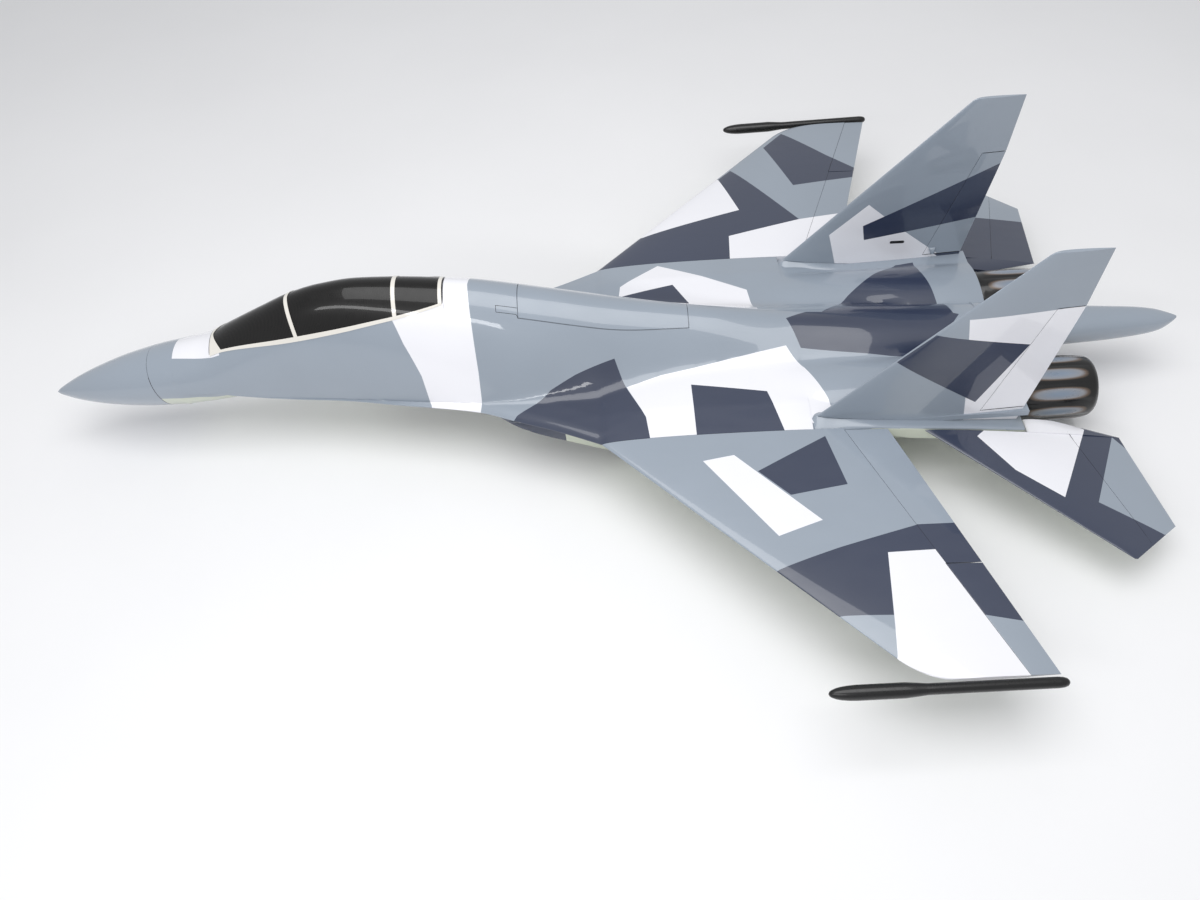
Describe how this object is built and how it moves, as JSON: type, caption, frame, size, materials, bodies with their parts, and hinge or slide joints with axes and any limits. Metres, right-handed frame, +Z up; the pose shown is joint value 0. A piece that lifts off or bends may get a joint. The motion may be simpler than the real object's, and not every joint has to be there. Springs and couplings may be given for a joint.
{
  "type": "radio-controlled jet plane",
  "caption": "Swept-wing twin-fin radio-controlled jet with moving control surfaces, opening canopy and hatch, ducted fans and retractable gear.",
  "frame": {"origin": "centre of the overall box in plan, at the level of the flat nacelle bellies that the model rests on", "axes": "-X towards the nose, -Y towards the left wing tip, +Z up"},
  "size_m": [2.4034, 1.639, 0.531],
  "materials": {
    "painted_shell": "gloss paint on moulded composite, splinter pattern in grey, slate blue and white",
    "rail_black": "gloss black",
    "servo_black": "matte black",
    "fan_black": "moulded black",
    "motor_aluminium": "machined",
    "tube_steel": "brushed",
    "nozzle_metal": "burnt metal petals, bronze edges",
    "tyre_rubber": "matte rubber",
    "frame_white": "gloss white",
    "canopy_tint": "dark smoked tint",
    "battery_wrap": "shrink wrap",
    "carbon_tube": "woven carbon tube"
  },
  "bodies": {
    "airframe": {"nose_cone": "painted_shell", "forward_fuselage": "painted_shell", "centre_fuselage": "painted_shell", "rear_spine": "painted_shell", "tail_sting": "painted_shell", "nacelle_left": "painted_shell", "tail_boom_left": "painted_shell", "gear_bay_left": "painted_shell", "wing_left": "painted_shell", "fin_left": "painted_shell", "tip_rail_left": "rail_black", "flap_servo_left": "servo_black", "aileron_servo_left": "servo_black", "fan_housing_left": "fan_black", "fan_motor_left": "motor_aluminium", "main_retract_unit_left": "motor_aluminium", "thrust_tube_left": "tube_steel", "nozzle_left": "nozzle_metal", "nacelle_right": "painted_shell", "tail_boom_right": "painted_shell", "gear_bay_right": "painted_shell", "wing_right": "painted_shell", "fin_right": "painted_shell", "tip_rail_right": "rail_black", "flap_servo_right": "servo_black", "aileron_servo_right": "servo_black", "fan_housing_right": "fan_black", "fan_motor_right": "motor_aluminium", "main_retract_unit_right": "motor_aluminium", "thrust_tube_right": "tube_steel", "nozzle_right": "nozzle_metal", "cockpit_tub": "servo_black", "receiver": "servo_black", "battery_pack": "battery_wrap", "speed_controller": "motor_aluminium", "nose_retract_unit": "motor_aluminium", "wing_spar_tube": "carbon_tube"},
    "canopy": {"canopy_glass": "canopy_tint", "canopy_frame": "frame_white"},
    "hatch": {"equipment_hatch": "painted_shell"},
    "nose_strut": {"nose_leg": "tube_steel"},
    "nose_steer": {"nose_fork": "tube_steel"},
    "nose_wheel": {"nose_hub": "motor_aluminium", "nose_tyre": "tyre_rubber"},
    "flap_left": {"flap_left": "painted_shell"},
    "aileron_left": {"aileron_left": "painted_shell"},
    "rudder_left": {"rudder_left": "painted_shell"},
    "stabilator_left": {"stabilator_left": "painted_shell"},
    "fan_left": {"fan_rotor_left": "fan_black"},
    "main_strut_left": {"main_leg_left": "tube_steel"},
    "main_wheel_left": {"main_left_hub": "motor_aluminium", "main_left_tyre": "tyre_rubber"},
    "flap_right": {"flap_right": "painted_shell"},
    "aileron_right": {"aileron_right": "painted_shell"},
    "rudder_right": {"rudder_right": "painted_shell"},
    "stabilator_right": {"stabilator_right": "painted_shell"},
    "fan_right": {"fan_rotor_right": "fan_black"},
    "main_strut_right": {"main_leg_right": "tube_steel"},
    "main_wheel_right": {"main_right_hub": "motor_aluminium", "main_right_tyre": "tyre_rubber"}
  },
  "joints": [
    {"name": "canopy_hinge", "type": "hinge", "parent": "airframe", "child": "canopy", "pos_m": [-0.302, 0, 0.36078], "axis": [0, 1, 0], "range_deg": [0, 42]},
    {"name": "hatch_lift", "type": "slide", "parent": "airframe", "child": "hatch", "axis": [0, 0, 1], "range_m": [0, 0.06]},
    {"name": "flap_left_hinge", "type": "hinge", "parent": "airframe", "child": "flap_left", "pos_m": [0.52219, -0.42275, 0.146], "axis": [-0.3481, 0.9375, 0], "range_deg": [0, 30]},
    {"name": "aileron_left_hinge", "type": "hinge", "parent": "airframe", "child": "aileron_left", "pos_m": [0.61937, -0.6845, 0.146], "axis": [-0.3481, 0.9375, 0], "range_deg": [-22, 22]},
    {"name": "rudder_left_hinge", "type": "hinge", "parent": "airframe", "child": "rudder_left", "pos_m": [0.76838, -0.237, 0.28], "axis": [0.2829, 0, 0.9591], "range_deg": [-25, 25]},
    {"name": "stabilator_left_pivot", "type": "hinge", "parent": "airframe", "child": "stabilator_left", "pos_m": [0.795, -0.3, 0.10756], "axis": [0, 1, 0], "range_deg": [-18, 12]},
    {"name": "fan_left_spin", "type": "hinge", "parent": "airframe", "child": "fan_left", "pos_m": [0.485, -0.137, 0.089], "axis": [1, 0, 0], "continuous": true},
    {"name": "flap_right_hinge", "type": "hinge", "parent": "airframe", "child": "flap_right", "pos_m": [0.52219, 0.42275, 0.146], "axis": [0.3481, 0.9375, 0], "range_deg": [0, 30]},
    {"name": "aileron_right_hinge", "type": "hinge", "parent": "airframe", "child": "aileron_right", "pos_m": [0.61937, 0.6845, 0.146], "axis": [0.3481, 0.9375, 0], "range_deg": [-22, 22]},
    {"name": "rudder_right_hinge", "type": "hinge", "parent": "airframe", "child": "rudder_right", "pos_m": [0.76838, 0.237, 0.28], "axis": [0.2829, 0, 0.9591], "range_deg": [-25, 25]},
    {"name": "stabilator_right_pivot", "type": "hinge", "parent": "airframe", "child": "stabilator_right", "pos_m": [0.795, 0.3, 0.10756], "axis": [0, 1, 0], "range_deg": [-18, 12]},
    {"name": "fan_right_spin", "type": "hinge", "parent": "airframe", "child": "fan_right", "pos_m": [0.485, 0.137, 0.089], "axis": [1, 0, 0], "continuous": true},
    {"name": "nose_gear_retract", "type": "hinge", "parent": "airframe", "child": "nose_strut", "pos_m": [-0.265, 0, 0.115], "axis": [0, -1, 0], "range_deg": [0, 90]},
    {"name": "nose_steering", "type": "hinge", "parent": "nose_strut", "child": "nose_steer", "pos_m": [-0.3703, 0, 0.115], "axis": [-1, 0, 0], "range_deg": [-20, 20]},
    {"name": "nose_wheel_spin", "type": "hinge", "parent": "nose_steer", "child": "nose_wheel", "pos_m": [-0.435, 0, 0.115], "axis": [0, 1, 0], "continuous": true},
    {"name": "main_gear_left_retract", "type": "hinge", "parent": "airframe", "child": "main_strut_left", "pos_m": [0.385, -0.2185, 0.088], "axis": [0, -1, 0], "range_deg": [0, 90]},
    {"name": "main_wheel_left_spin", "type": "hinge", "parent": "main_strut_left", "child": "main_wheel_left", "pos_m": [0.25, -0.24, 0.088], "axis": [0, 1, 0], "continuous": true},
    {"name": "main_gear_right_retract", "type": "hinge", "parent": "airframe", "child": "main_strut_right", "pos_m": [0.385, 0.2185, 0.088], "axis": [0, -1, 0], "range_deg": [0, 90]},
    {"name": "main_wheel_right_spin", "type": "hinge", "parent": "main_strut_right", "child": "main_wheel_right", "pos_m": [0.25, 0.24, 0.088], "axis": [0, 1, 0], "continuous": true}
  ],
  "couplings": [
    {"joint": "main_gear_left_retract", "follows": "nose_gear_retract", "ratio": 1},
    {"joint": "main_gear_right_retract", "follows": "nose_gear_retract", "ratio": 1},
    {"joint": "flap_right_hinge", "follows": "flap_left_hinge", "ratio": 1},
    {"joint": "aileron_right_hinge", "follows": "aileron_left_hinge", "ratio": -1},
    {"joint": "rudder_right_hinge", "follows": "rudder_left_hinge", "ratio": 1}
  ]
}
